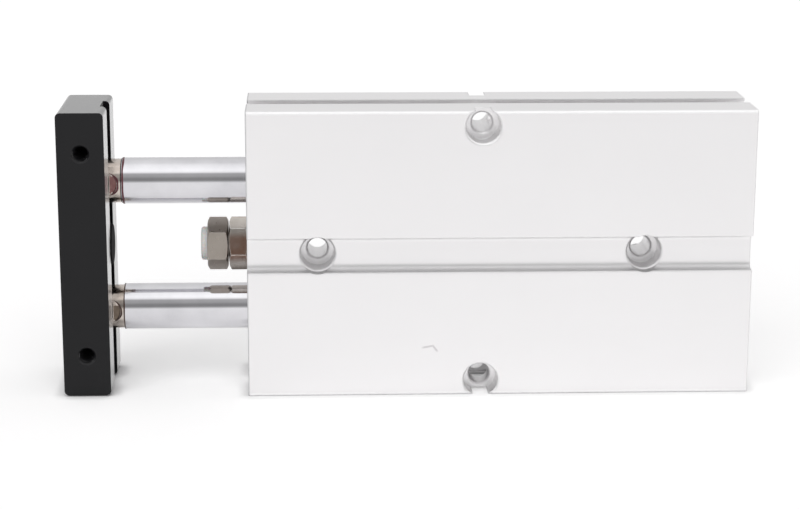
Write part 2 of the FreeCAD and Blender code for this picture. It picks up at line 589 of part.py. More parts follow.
def end_plate():
    """Plate with a channelled back, seats for both rods, and threaded holes for the load."""
    body = new_body("end_plate")
    side, top = "(plate_depth / 2)", "(plate_height / 2)"
    sketch = sketch_on(body, "YZ_Plane", ("0", "0", PLATE_FRONT))
    outline(sketch, [(f"-{side}", f"-{top}"), (side, f"-{top}"), (side, top), (f"-{side}", top)])
    slab = pad(body, sketch, "plate_thick")
    depth = value("plate_depth")
    corners = edges_where(slab, lambda middle, run, curve: abs(abs(run.y) - depth) < 1e-3)
    dress(body, "Fillet", "Radius", slab, corners, "plate_round")
    channel = sketch_on(body, "YZ_Plane", ("0", "0", PLATE_BACK))
    half = "channel_width / 2"
    outline(channel, [(f"-{half}", f"-{top}"), (half, f"-{top}"), (half, top), (f"-{half}", top)])
    pocket(body, channel, "channel_depth", forwards=False)
    for rounds, recess in (
            ([("0", level, "neck + 2 * fit") for level in LEVELS.values()], "socket_depth"),
            ([("0", "0", "strike + 2 * fit")], "channel_depth + strike_seat")):
        seats = sketch_on(body, "YZ_Plane", ("0", "0", PLATE_BACK))
        circles(seats, rounds)
        pocket(body, seats, recess, forwards=False)
    sink_floor = f"({PLATE_FRONT} + screw_head_height + gland_gap)"
    for level in LEVELS.values():
        hole_along_x(body, [
            (PLATE_FRONT, "0"), (PLATE_FRONT, "screw_sink / 2 + break_edge"),
            (f"{PLATE_FRONT} + break_edge", "screw_sink / 2"), (sink_floor, "screw_sink / 2"),
            (sink_floor, "plate_screw_hole / 2"), (PLATE_BACK, "plate_screw_hole / 2"),
            (PLATE_BACK, "0")], up=level)
    for sign in (1, -1):
        level = f"{sign} * side_hole_pitch / 2"
        hole_along_x(body, [
            (PLATE_FRONT, "0"), (PLATE_FRONT, "load_hole / 2 + break_edge"),
            (f"{PLATE_FRONT} + break_edge", "load_hole / 2"), (PLATE_BACK, "load_hole / 2"),
            (PLATE_BACK, "0")], up=level)
        for face, inward in ((f"-{side}", 1), (side, -1)):
            hole_along_y(body, blind_hole(face, "side_hole / 2", "side_hole_depth", inward),
                         f"({PLATE_FRONT} + plate_thick / 2)", level)
    place(body)
    seat = f"({PLATE_BACK} - channel_depth - strike_seat)"
    turned("strike_pad", [
        (seat, "0"), (seat, "strike / 2"), (f"{PLATE_BACK} + strike_proud - break_edge", "strike / 2"),
        (f"{PLATE_BACK} + strike_proud", "strike / 2 - break_edge"), (f"{PLATE_BACK} + strike_proud", "0")])


def plate_screw(side, level):
    """Socket head screw from the plate's front into the rod's end."""
    head_back = f"({PLATE_FRONT} + screw_head_height + gland_gap)"
    head_front = f"({PLATE_FRONT} + gland_gap)"
    shank, tip = "(plate_screw / 2 - fit)", f"({ROD_START} + screw_grip)"
    body = turned(f"plate_screw_{side}", [
        (head_front, "0"), (head_front, "screw_head / 2 - break_edge"),
        (f"{head_front} + break_edge", "screw_head / 2"), (head_back, "screw_head / 2"),
        (head_back, shank), (f"{tip} - break_edge", shank), (tip, f"{shank} - break_edge"),
        (tip, "0")], level)
    key = sketch_on(body, "YZ_Plane", ("0", "0", head_front))
    hexagon(key, "screw_key")
    pocket(body, key, "screw_key_depth")


def stop():
    """Stop bolt with a soft bumper in its head, and the nut that locks it."""
    nut("lock_nut", "-lock_height", "lock_height", "stop_flats", "stop_thread / 2", turn="lock_turn")
    shank = "(stop_thread / 2 - run)"
    bolt = hex_body("stop_bolt", HEAD_FRONT, "stop_head", "stop_flats", "head_turn")
    turn_add(bolt, [(HEAD_BACK, "0"), (HEAD_BACK, shank), (f"{STOP_REACH} - break_edge", shank),
                    (STOP_REACH, f"{shank} - break_edge"), (STOP_REACH, "0")])
    stem_end = f"({HEAD_FRONT} + tip_stem_length)"
    hole_along_x(bolt, [(HEAD_FRONT, "0"), (HEAD_FRONT, "tip_stem / 2 + run"),
                        (f"{stem_end} + run", "tip_stem / 2 + run"), (f"{stem_end} + run", "0")])
    place(bolt)
    face, front = f"({HEAD_FRONT} - fit)", f"({HEAD_FRONT} - tip_proud)"
    turned("bumper", [
        (front, "0"), (front, "tip / 2 - break_edge"), (f"{front} + break_edge", "tip / 2"),
        (face, "tip / 2"), (face, "tip_stem / 2"), (stem_end, "tip_stem / 2"), (stem_end, "0")])


def passage_plugs():
    """Short pins that close the drilled entries of the air passages."""
    for end, along in PORTS.items():
        pin = doc.addObject("Part::Cylinder", f"passage_plug_{end}")
        pin.Label = f"passage_plug_{end}"
        bind(pin, "Radius", "plug / 2 - fit")
        bind(pin, "Height", "plug_length")
        bind(pin, "Placement.Base.x", f"{TO_FRAME} + {along}")
        bind(pin, "Placement.Base.z", f"{MID_HEIGHT} - {SLOT_FLOOR}")
        pieces.append(pin)


housing()
end_plate()
stop()
passage_plugs()
for side, level in LEVELS.items():
    glands(side, level)
    caps(side, level)
    clip(f"front_clip_{side}", "clip_inset", level, side == "upper")
    clip(f"rear_clip_{side}", CAP_END, level, side == "upper")
    rods(side, level)
    pistons(side, level)
    plate_screw(side, level)
doc.recompute()

for thing in doc.Objects:
    if {"Invalid", "Error"} & set(thing.State):
        raise ValueError(f"{thing.Label} did not rebuild: {thing.State}")
for piece in pieces:
    if piece.Shape.isNull() or not piece.Shape.isValid() or len(piece.Shape.Solids) != 1:
        raise ValueError(f"{piece.Label} is not one sound solid")

os.makedirs("parts", exist_ok=True)
for piece in pieces:
    piece.Shape.exportStep(f"parts/{piece.Label}.step")
print(f"{len(pieces)} pieces, body {value(BODY_LENGTH)} mm long, retracts {value(RETRACT)} mm")
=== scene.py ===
# %% [markdown]
# # Dressing a guided pneumatic cylinder
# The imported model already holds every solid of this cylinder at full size: an aluminium body,
# two chromed rods, a black end plate and a stop bolt. This lesson gives those solids their
# finishes, adds the small things that are too fine for a solid model, such as screw threads and
# dried thread sealant, and sets up the light and the camera. Nothing that was packed is moved.
# A millimetre is named first, because Blender counts in metres. The view is set to Standard, so
# that a colour renders as it is written.

import json
import math

import bmesh
import bpy
from mathutils import Matrix, Vector, noise


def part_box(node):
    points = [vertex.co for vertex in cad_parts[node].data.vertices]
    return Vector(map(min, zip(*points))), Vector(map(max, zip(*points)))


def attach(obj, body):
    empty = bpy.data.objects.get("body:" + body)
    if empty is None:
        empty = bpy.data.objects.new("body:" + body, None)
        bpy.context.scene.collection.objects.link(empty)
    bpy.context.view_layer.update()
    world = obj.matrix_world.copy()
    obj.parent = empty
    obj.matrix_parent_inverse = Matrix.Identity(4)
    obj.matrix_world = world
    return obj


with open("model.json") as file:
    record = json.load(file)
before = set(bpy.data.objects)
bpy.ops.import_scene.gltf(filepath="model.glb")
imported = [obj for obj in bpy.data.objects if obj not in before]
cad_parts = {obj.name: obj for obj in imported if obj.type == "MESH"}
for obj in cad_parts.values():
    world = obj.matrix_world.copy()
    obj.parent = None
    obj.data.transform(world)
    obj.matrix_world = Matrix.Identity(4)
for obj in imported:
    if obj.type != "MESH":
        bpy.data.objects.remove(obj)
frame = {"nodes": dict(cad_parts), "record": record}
bpy.context.scene.view_settings.view_transform = "Standard"
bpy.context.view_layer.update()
MM = 0.001
nodes, record = frame["nodes"], frame["record"]
mounts = {mount["name"]: mount for mount in record["mounts"]}
body_low, body_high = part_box("body")
plate_low, plate_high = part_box("end_plate")
print(f"{len(nodes)} nodes, body {(body_high - body_low) / MM} mm, plate {(plate_high - plate_low) / MM} mm")

# %% [markdown]
# ## Camera
# A long lens from less than half a metre away keeps the body's edges nearly parallel. It could be
# aimed with a Track To constraint, but then the small tilt of a hand-held view is awkward to set.
# So the camera's place is a plain offset from the middle of the body's front end, and three turns,
# multiplied as matrices, make its rotation.

# %% Place the camera
EYE_BACK, EYE_UP, EYE_RIGHT = 430.673 * MM, 107.082 * MM, 13.969 * MM
AIM_RIGHT, AIM_DOWN, LEAN = 2.463, 13.919, 0.204
front_middle = Vector((body_low.x, body_low.y, (body_low.z + body_high.z) / 2))

camera = bpy.data.objects.new("camera", bpy.data.cameras.new("camera"))
camera.data.lens, camera.data.sensor_width = 94.095, 36
camera.data.clip_start, camera.data.clip_end = 0.01, 20
camera.location = front_middle + Vector((EYE_RIGHT, -EYE_BACK, EYE_UP))
camera.matrix_world = (
    Matrix.Translation(camera.location)
    @ Matrix.Rotation(math.radians(-AIM_RIGHT), 4, "Z")
    @ Matrix.Rotation(math.radians(90 - AIM_DOWN), 4, "X")
    @ Matrix.Rotation(math.radians(LEAN), 4, "Z"))
bpy.context.scene.collection.objects.link(camera)
bpy.context.scene.camera = camera
print(f"camera at {camera.matrix_world.translation / MM} mm")

# %% [markdown]
# ## Node helpers
# Materials are built from nodes in code. Each one needs the same three moves: add a node with some
# settings, give its inputs plain values, and join sockets. One helper does that, and one more is
# for Math nodes. A node group is a piece of such a tree that several materials share: one helper
# starts it and one places it. So a material reads as a list of what it is made of.


# %% Helpers that add and join nodes
def add(tree, kind, values=None, **settings):
    """Add a shader node, set its options, then fill or connect its inputs by name or number."""
    node = tree.nodes.new(f"ShaderNode{kind}")
    for name, setting in settings.items():
        setattr(node, name, setting)
    for name, value in (values or {}).items():
        if isinstance(value, bpy.types.NodeSocket):
            tree.links.new(value, node.inputs[name])
        else:
            node.inputs[name].default_value = value
    return node


def maths(tree, operation, *values, **settings):
    """Add a Math node and return its result."""
    return add(tree, "Math", dict(enumerate(values)), operation=operation, **settings).outputs[0]


def new_group(name, inputs, outputs):
    """Start a shader node group with named sockets, and return it with its two end nodes."""
    group = bpy.data.node_groups.new(name, "ShaderNodeTree")
    for label, value in inputs.items():
        kind = "NodeSocketColor" if isinstance(value, tuple) else "NodeSocketFloat"
        socket = group.interface.new_socket(label, in_out="INPUT", socket_type=kind)
        socket.default_value = value
    for label in outputs:
        kind = "NodeSocketVector" if label == "Normal" else "NodeSocketFloat"
        group.interface.new_socket(label, in_out="OUTPUT", socket_type=kind)
    return group, group.nodes.new("NodeGroupInput"), group.nodes.new("NodeGroupOutput")


def use(tree, group, **values):
    """Place a node group in a material with its own values."""
    node = tree.nodes.new("ShaderNodeGroup")
    node.node_tree = group
    for label, value in values.items():
        node.inputs[label.replace("_", " ")].default_value = value
    return node.outputs


print("helpers ready")

# %% [markdown]
# ## Edge wear
# A handled edge loses its coating first, so it shows as a thin bright line. On the body and the
# stop's lock nut that bright line is also a painted highlight. Pointiness finds edges only on dense
# meshes, and these are lean. The Bevel node instead looks a small distance around each point and
# bends the normal near an edge, so the angle between that bent normal and the true one makes a mask
# on any mesh. The bent normal is put out too: it makes a sharp edge catch the light as a slightly
# rounded one does.

# %% Group: edge wear
edge_wear, start, end = new_group("edge_wear", {"Width": 0.3 * MM, "Strength": 1.0}, ["Mask", "Normal"])
rounded = add(edge_wear, "Bevel", {"Radius": start.outputs["Width"]}, samples=4)
true = add(edge_wear, "NewGeometry")
agree = add(edge_wear, "VectorMath", {0: rounded.outputs[0], 1: true.outputs["Normal"]},
            operation="DOT_PRODUCT")
bent = maths(edge_wear, "SUBTRACT", 1.0, agree.outputs["Value"])
mask = maths(edge_wear, "MULTIPLY", bent, start.outputs["Strength"], use_clamp=True)
edge_wear.links.new(mask, end.inputs["Mask"])
edge_wear.links.new(rounded.outputs[0], end.inputs["Normal"])
print("group:", edge_wear.name)

# %% [markdown]
# ## Directional grain
# Extruding, grinding and brushing all leave fine lines that run one way. A Noise texture gives
# them when its coordinates are stretched: few changes along the lines, many across. One group with
# a frequency for each direction serves the body, whose lines run along X, and the rods, whose
# grinding marks run round them.

# %% Group: directional grain
grain, start, end = new_group(
    "directional_grain", {"Along X": 20.0, "Along Y": 2000.0, "Along Z": 2000.0}, ["Fine", "Broad"])
spot = add(grain, "TexCoord").outputs["Object"]
stretch = add(grain, "CombineXYZ", dict(enumerate(start.outputs[:3])))
place = add(grain, "VectorMath", {0: spot, 1: stretch.outputs[0]}, operation="MULTIPLY")
for label, size, detail in (("Fine", 1.0, 3.0), ("Broad", 0.13, 2.0)):
    lines = add(grain, "TexNoise", {"Vector": place.outputs[0], "Scale": size, "Detail": detail})
    grain.links.new(lines.outputs["Fac"], end.inputs[label])
print("group:", grain.name)

# %% [markdown]
# ## Even grain and blotches
# A blasted or anodised skin is evenly speckled, and handling leaves faint broad patches. Both are
# plain Noise textures at two very different scales, kept in one group because most finishes here
# need both.

# %% Group: speckle and blotches
skin, start, end = new_group("speckled_skin", {"Speckle": 2500.0, "Blotch": 60.0}, ["Speckle", "Blotch"])
spot = add(skin, "TexCoord").outputs["Object"]
for label, detail in (("Speckle", 4.0), ("Blotch", 3.0)):
    spots = add(skin, "TexNoise", {"Vector": spot, "Scale": start.outputs[label], "Detail": detail})
    skin.links.new(spots.outputs["Fac"], end.inputs[label])
print("group:", skin.name)

# %% [markdown]
# ## Turning marks
# Faces cut on a lathe carry fine rings about the spindle's axis. Apart from two small plugs, every
# turned piece here has its axis along X, so a noise that varies only with the distance from that
# axis gives the rings. The group takes the axis's height and the spacing of the rings.

# %% Group: turning marks
turning, start, end = new_group("turning_marks", {"Height": 0.0, "Spacing": 0.15 * MM}, ["Rings"])
spot = add(turning, "SeparateXYZ", {0: add(turning, "TexCoord").outputs["Object"]})
up = maths(turning, "SUBTRACT", spot.outputs["Z"], start.outputs["Height"])
across, rise = maths(turning, "POWER", spot.outputs["Y"], 2.0), maths(turning, "POWER", up, 2.0)
radius = maths(turning, "SQRT", maths(turning, "ADD", across, rise))
ring_number = maths(turning, "DIVIDE", radius, start.outputs["Spacing"])
rings = add(turning, "TexNoise", {"W": ring_number, "Scale": 1.0, "Detail": 2.0}, noise_dimensions="1D")
turning.links.new(rings.outputs["Fac"], end.inputs["Rings"])
print("group:", turning.name)

# %% [markdown]
# ## A zone of a solid
# The rod's neck is bare steel and its shank is chromed, though both are one solid, and the corner
# of the body's groove is duller than its floor. A mask that goes from nought to one with the
# distance from a centre, along X, Y or Z, lets one material hold two finishes.

# %% Group: mask by the distance from a centre
zone, start, end = new_group(
    "zone_along", {"Centre": 0.0, "From": 0.0, "To": 1.0}, ["Along X", "Along Y", "Along Z"])
spot = add(zone, "SeparateXYZ", {0: add(zone, "TexCoord").outputs["Object"]})
for axis in "XYZ":
    away = maths(zone, "ABSOLUTE", maths(zone, "SUBTRACT", spot.outputs[axis], start.outputs["Centre"]))
    ramp = add(zone, "MapRange", {"Value": away, "From Min": start.outputs["From"],
                                  "From Max": start.outputs["To"]})
    zone.links.new(ramp.outputs[0], end.inputs[f"Along {axis}"])
print("group:", zone.name)

# %% [markdown]
# ## A short scratch
# One tool mark on a plain face says more about handling than any amount of even noise. The group
# draws one stroke in the XZ plane: the surface point is moved to the stroke's centre and turned by
# its angle, and the stroke's length and width are then two soft limits. A limit along Y keeps it
# on one face.

# %% Group: mask of one scratch
scratch, start, end = new_group(
    "short_scratch", {"X": 0.0, "Y": 0.0, "Z": 0.0, "Angle": 0.0, "Length": 1.0, "Width": 0.1}, ["Mask"])
centre = add(scratch, "CombineXYZ", dict(enumerate(start.outputs[:3])))
away = add(scratch, "VectorMath", {0: add(scratch, "TexCoord").outputs["Object"], 1: centre.outputs[0]},
           operation="SUBTRACT")
turned = add(scratch, "VectorRotate", {"Vector": away.outputs[0], "Angle": start.outputs["Angle"]},
             rotation_type="Y_AXIS")
offset = add(scratch, "SeparateXYZ", {0: turned.outputs[0]})
limits = []
for axis, reach in (("X", "Length"), ("Y", "Width"), ("Z", "Width")):
    far = maths(scratch, "DIVIDE", maths(scratch, "ABSOLUTE", offset.outputs[axis]), start.outputs[reach])
    limits.append(add(scratch, "MapRange", {"Value": far, "From Min": 0.5, "From Max": 0.25}).outputs[0])
stroke = maths(scratch, "MULTIPLY", maths(scratch, "MULTIPLY", limits[0], limits[1]), limits[2])
scratch.links.new(stroke, end.inputs["Mask"])
print("group:", scratch.name)

# %% [markdown]
# ## Starting a material
# Every finish ends in one Principled shader, with uniform values set on its own sockets. What
# varies over the surface, colour, roughness and bump, is joined afterwards. Five helpers cover
# that: one starts the material, one mixes two colours by a mask, one stretches a mask between two
# values, one turns a height into a normal, and one joins the results to the shader.


# %% Helpers for materials
def new_finish(name, colour, metallic, roughness, **extra):
    """Start a material and return it with its tree and its Principled shader."""
    material = bpy.data.materials.new(name)
    material.use_nodes = True
    tree = material.node_tree
    shader = tree.nodes["Principled BSDF"]
    shader.inputs["Base Color"].default_value = (*colour, 1)
    shader.inputs["Metallic"].default_value = metallic
    shader.inputs["Roughness"].default_value = roughness
    for label, value in extra.items():
        shader.inputs[label.replace("_", " ")].default_value = value
    return material, tree, shader


def tint(tree, mask, low, high):
    """Mix from one colour to another by a mask. Either colour may be a socket."""
    node = add(tree, "Mix", {"Factor": mask}, data_type="RGBA")
    for socket, colour in zip((node.inputs[6], node.inputs[7]), (low, high)):
        if isinstance(colour, bpy.types.NodeSocket):
            tree.links.new(colour, socket)
        else:
            socket.default_value = (*colour, 1)
    return node.outputs[2]


def spread(tree, mask, low, high):
    """Stretch a mask to run from one value to another."""
    return add(tree, "MapRange", {"Value": mask, "To Min": low, "To Max": high}).outputs[0]


def emboss(tree, shader, height, depth, normal=None):
    """Bump the shader's normal, or a given one, by a height whose full range is depth metres."""
    bump = add(tree, "Bump", {"Height": height, "Distance": depth, "Strength": 1.0})
    if normal:
        tree.links.new(normal, bump.inputs["Normal"])
    tree.links.new(bump.outputs[0], shader.inputs["Normal"])


def feed(tree, shader, **sockets):
    """Join sockets to the shader's inputs by name."""
    for label, socket in sockets.items():
        tree.links.new(socket, shader.inputs[label.replace("_", " ")])


finishes = {}
print("material helpers ready")

# %% [markdown]
# ## Body alloy
# The body is an aluminium extrusion, blasted and clear anodised: almost white, satin, with a very
# fine speckle and faint die lines along its length. Its machined edges are painted brighter, partly
# as bare metal showing through and partly as a painted highlight. Its long rounded edges are painted
# a chalky white and made less metallic, partly as rubbing and partly as a painted highlight along
# the round. The lower corner of each centre groove is painted darker, as painted shade where the
# groove's upper wall hides the light, and is made duller. The rim of its front end is painted a
# darker grey, and one wide face has a small hooked scratch of two strokes.

# %% Finish: body alloy
material, tree, shader = new_finish("body_alloy", (0.90, 0.89, 0.895), 0.9, 0.36)
speckle = use(tree, skin, Speckle=3200.0, Blotch=45.0)
lines = use(tree, grain, Along_X=12.0, Along_Y=1800.0, Along_Z=1800.0)
wear_and_glint = use(tree, edge_wear, Width=0.5 * MM, Strength=4.0)
colour = tint(tree, speckle["Blotch"], (0.885, 0.875, 0.88), (0.915, 0.905, 0.91))
# The edge mask paints the sharp edges brighter, partly as wear and partly as a painted highlight.
colour = tint(tree, wear_and_glint["Mask"], colour, (0.985, 0.98, 0.985))
# Painted shade: the lower corner of each centre groove is painted darker, where the groove's upper wall
# hides the light, and it is also made rougher.
GROOVE_WALL, CORNER_REACH = 3.8 * MM, 1.7 * MM
middle, half = (body_low.z + body_high.z) / 2, (body_high.z - body_low.z) / 2
near_wall = use(tree, zone, Centre=middle - GROOVE_WALL, From=CORNER_REACH, To=0.1 * MM)["Along Z"]
below_face = use(tree, zone, From=body_high.y - 0.05 * MM, To=body_high.y - 0.15 * MM)["Along Y"]
above_holes = use(tree, zone, From=body_high.y - 2.5 * MM, To=body_high.y - 2.4 * MM)["Along Y"]
corner = maths(tree, "MULTIPLY", maths(tree, "MULTIPLY", near_wall, below_face), above_holes)
colour = tint(tree, corner, colour, (0.66, 0.655, 0.66))
# Painted highlight: the long rounded edges are lightened to a chalky white and made less metallic, partly as
# rubbing and partly for the light a rounded edge catches.
EDGE_ROUND_START, EDGE_ROUND_FULL = 0.8 * MM, 0.5 * MM
near_side = use(tree, zone, Centre=middle, From=half - EDGE_ROUND_START, To=half - EDGE_ROUND_FULL)["Along Z"]
near_front = use(tree, zone, From=body_high.y - EDGE_ROUND_START, To=body_high.y - EDGE_ROUND_FULL)["Along Y"]
edge_rub_and_highlight = maths(tree, "MULTIPLY", near_side, near_front)
colour = tint(tree, edge_rub_and_highlight, colour, (0.97, 0.965, 0.97))
# The rim of the front end is painted a darker grey.
front_end = use(tree, zone, Centre=body_low.x, From=0.35 * MM, To=0.1 * MM)["Along X"]
rim = maths(tree, "MAXIMUM", near_side, near_front)
colour = tint(tree, maths(tree, "MULTIPLY", front_end, rim), colour, (0.60, 0.60, 0.61))
MARK = Vector((body_low.x + 39.4 * MM, body_low.y, body_low.z + 10.8 * MM))
for shift, drop, angle, length in ((-0.85, 0.0, 10, 3.0), (0.7, -0.4, -52, 2.2)):
    stroke = use(tree, scratch, X=MARK.x + shift * MM, Y=MARK.y, Z=MARK.z + drop * MM,
                 Angle=math.radians(angle), Length=length * MM, Width=0.55 * MM)["Mask"]
    colour = tint(tree, stroke, colour, (0.68, 0.66, 0.67))
satin, die_lines = spread(tree, speckle["Speckle"], 0.30, 0.42), spread(tree, lines["Fine"], -0.03, 0.03)
rough = maths(tree, "ADD", satin, die_lines)
rough = maths(tree, "ADD", rough, maths(tree, "MULTIPLY", corner, 0.25))
height = maths(tree, "ADD", speckle["Speckle"], maths(tree, "MULTIPLY", lines["Fine"], 0.6))
feed(tree, shader, Base_Color=colour, Roughness=rough, Metallic=spread(tree, edge_rub_and_highlight, 0.9, 0.35))
emboss(tree, shader, height, 0.004 * MM, wear_and_glint["Normal"])
finishes["body_alloy"] = material
print("finish:", material.name)

# %% [markdown]
# ## Plate alloy
# The end plate is milled flat and black anodised: deep, slightly cool grey in the light, with a
# soft sheen that turns pale where it is seen at a low angle. Two weak reflecting layers and a
# little sheen do that better than one strong layer. Handling has rubbed its corners.

# %% Finish: plate alloy
material, tree, shader = new_finish(
    "plate_alloy", (0.007, 0.007, 0.008), 0.0, 0.2, Specular_IOR_Level=0.125, Coat_Weight=1.0,
    Coat_IOR=1.22, Coat_Roughness=0.22, Sheen_Weight=0.4, Sheen_Roughness=0.22)
speckle = use(tree, skin, Speckle=2600.0, Blotch=90.0)
wear_and_glint = use(tree, edge_wear, Width=0.25 * MM, Strength=1.2)
colour = tint(tree, speckle["Blotch"], (0.004, 0.004, 0.005), (0.007, 0.007, 0.008))
colour = tint(tree, maths(tree, "MULTIPLY", wear_and_glint["Mask"], speckle["Speckle"]), colour, (0.12, 0.12, 0.125))
feed(tree, shader, Base_Color=colour, Roughness=spread(tree, speckle["Speckle"], 0.12, 0.26))
emboss(tree, shader, speckle["Speckle"], 0.0015 * MM)
finishes["plate_alloy"] = material
print("finish:", material.name)

# %% [markdown]
# ## Rod chrome and its bare neck
# The rods are ground, hard chromed and polished. They mirror the room, so most of their look comes
# from the light, and the finish only adds a trace of grinding lines and long wipe marks. The neck
# at the plate is unplated, stained steel, so a mask along X swaps in its colour and roughness. Oily
# smudges dim the chrome a little in patches.

# %% Finish: rod chrome
neck_start = plate_high.x
NECK_LENGTH = 2.5 * MM
material, tree, shader = new_finish("rod_chrome", (0.68, 0.675, 0.70), 1.0, 0.1)
rings = use(tree, grain, Along_X=9000.0, Along_Y=60.0, Along_Z=60.0)
wipes = use(tree, grain, Along_X=25.0, Along_Y=900.0, Along_Z=900.0)
stains = use(tree, skin, Speckle=1500.0, Blotch=240.0)
shank = use(tree, zone, Centre=neck_start, From=NECK_LENGTH, To=NECK_LENGTH + 0.15 * MM)["Along X"]
stained = spread(tree, stains["Blotch"], -0.3, 1.3)
neck = tint(tree, stained, (0.36, 0.30, 0.26), (0.72, 0.66, 0.61))
smudges = use(tree, skin, Speckle=1500.0, Blotch=130.0)["Blotch"]
chrome = tint(tree, spread(tree, smudges, -0.6, 1.6), (0.61, 0.605, 0.63), (0.73, 0.725, 0.75))
colour = tint(tree, shank, neck, chrome)
ground, wiped = spread(tree, rings["Fine"], 0.05, 0.13), spread(tree, wipes["Broad"], -0.03, 0.04)
polish = maths(tree, "ADD", ground, wiped)
rough = maths(tree, "ADD", polish, spread(tree, shank, 0.04, 0.0))
feed(tree, shader, Base_Color=colour, Roughness=rough)
emboss(tree, shader, maths(tree, "ADD", rings["Fine"], wipes["Broad"]), 0.0006 * MM)
finishes["rod_chrome"] = material
print("finish:", material.name)

# %% [markdown]
# ## Plated steel of the stop
# The stop bolt and its lock nut look nickel plated and a little tarnished. The nut has a red-brown
# patch across its middle, as if its plating had gone there, and bright corners that are painted
# highlights, standing for the light its chamfers catch. One function makes both finishes and a
# third for the nuts on the pistons inside, with the patch's colour and the strength of the corner
# brightening, part wear and part painted highlight, as values.


# %% Finish: plated steel
def plated_steel(name, dull, bright, roughness, wear_and_glint_strength, rust=None, height=0.0):
    """Tarnished plating with corners painted bright, part wear and part painted highlight, and, where a rust
    colour is given, a patch at a height.
    """
    material, tree, shader = new_finish(name, dull, 1.0, roughness)
    tarnish = use(tree, skin, Speckle=1800.0, Blotch=260.0)
    wear_and_glint = use(tree, edge_wear, Width=0.3 * MM, Strength=wear_and_glint_strength)
    colour = tint(tree, tarnish["Blotch"], dull, bright)
    if rust:
        patch = use(tree, zone, Centre=height, From=3.6 * MM, To=2.2 * MM)["Along Z"]
        blotched = spread(tree, tarnish["Blotch"], 1.3, 0.2)
        colour = tint(tree, maths(tree, "MULTIPLY", patch, blotched), colour, rust)
    # The corner mask paints the corners brighter, part wear and part painted highlight. It is strongest on
    # the lock nut, where it stands for the light on its chamfers.
    colour = tint(tree, wear_and_glint["Mask"], colour, (0.92, 0.90, 0.87))
    feed(tree, shader, Base_Color=colour,
         Roughness=spread(tree, tarnish["Speckle"], roughness - 0.06, roughness + 0.1))
    emboss(tree, shader, tarnish["Speckle"], 0.0012 * MM, wear_and_glint["Normal"])
    finishes[name] = material
    print("finish:", name)


nut_low, nut_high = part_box("lock_nut")
plated_steel("nickel_steel", (0.32, 0.28, 0.245), (0.44, 0.40, 0.36), 0.28, 1.0)
# The lock nut's high corner value paints strong highlights along its chamfers.
plated_steel("nickel_steel_nut", (0.40, 0.36, 0.32), (0.72, 0.67, 0.62), 0.22, 6.0,
             rust=(0.30, 0.16, 0.11), height=(nut_low.z + nut_high.z) / 2)
plated_steel("nut_steel", (0.45, 0.43, 0.38), (0.6, 0.58, 0.52), 0.32, 1.6)

# %% [markdown]
# ## Bumper and cushions
# The stop's bumper is pale and looks like polyurethane, and the cushions inside are taken to be
# the same kind. Light enters it a little way, which softens its edges, so it takes some
# subsurface scattering with a short reach.

# %% Finish: pale urethane
for name, colour in (("bumper_urethane", (0.66, 0.65, 0.63)), ("cushion_urethane", (0.7, 0.67, 0.56))):
    material, tree, shader = new_finish(
        name, colour, 0.0, 0.42, Subsurface_Weight=0.35, Subsurface_Scale=0.6 * MM)
    cloud = use(tree, skin, Speckle=2200.0, Blotch=350.0)
    feed(tree, shader, Base_Color=tint(tree, cloud["Blotch"], [part * 0.94 for part in colour], colour),
         Roughness=spread(tree, cloud["Speckle"], 0.36, 0.5))
    emboss(tree, shader, cloud["Speckle"], 0.006 * MM)
    finishes[name] = material
    print("finish:", name)

# %% [markdown]
# ## Dark rubber, oxide and plastic
# Seals, the strike pad, the black oxide screws, the retaining rings and the magnets are all dark
# and nearly even. What tells them apart is how metallic, how rough and how shiny they are, so they
# share one recipe with a table of values.

# %% Finishes: dark pieces
DARK = {
    "black_rubber": ((0.010, 0.009, 0.010), 0.0, 0.75, 0.010, 0.05),
    "seal_rubber": ((0.022, 0.022, 0.022), 0.0, 0.45, 0.006, 0.25),
    "screw_steel": ((0.055, 0.055, 0.06), 0.7, 0.38, 0.004, 0.25),
    "clip_steel": ((0.06, 0.06, 0.06), 0.6, 0.42, 0.006, 0.25),
    "bonded_magnet": ((0.05, 0.05, 0.052), 0.0, 0.5, 0.006, 0.25),
}
for name, (colour, metallic, roughness, depth, shine) in DARK.items():
    material, tree, shader = new_finish(name, colour, metallic, roughness, Specular_IOR_Level=shine)
    speckle = use(tree, skin, Speckle=2400.0, Blotch=200.0)
    wear_and_glint = use(tree, edge_wear, Width=0.15 * MM, Strength=0.8)
    shade = tint(tree, speckle["Blotch"], [part * 0.8 for part in colour], [part * 1.25 for part in colour])
    feed(tree, shader, Base_Color=tint(tree, wear_and_glint["Mask"], shade, [part * 2.5 for part in colour]),
         Roughness=spread(tree, speckle["Speckle"], roughness - 0.07, roughness + 0.07))
    emboss(tree, shader, speckle["Speckle"], depth * MM)
    finishes[name] = material
print("finishes:", ", ".join(DARK))

# %% [markdown]
# ## Turned pieces
# The glands, rear caps, pistons, bushes and wear rings are turned and left bare. Their end faces
# show rings about their own axis. The two cylinders lie one above the other, so each of these
# finishes is made twice, once for each axis height. The two small passage plugs lie across the
# body and share the lower set.

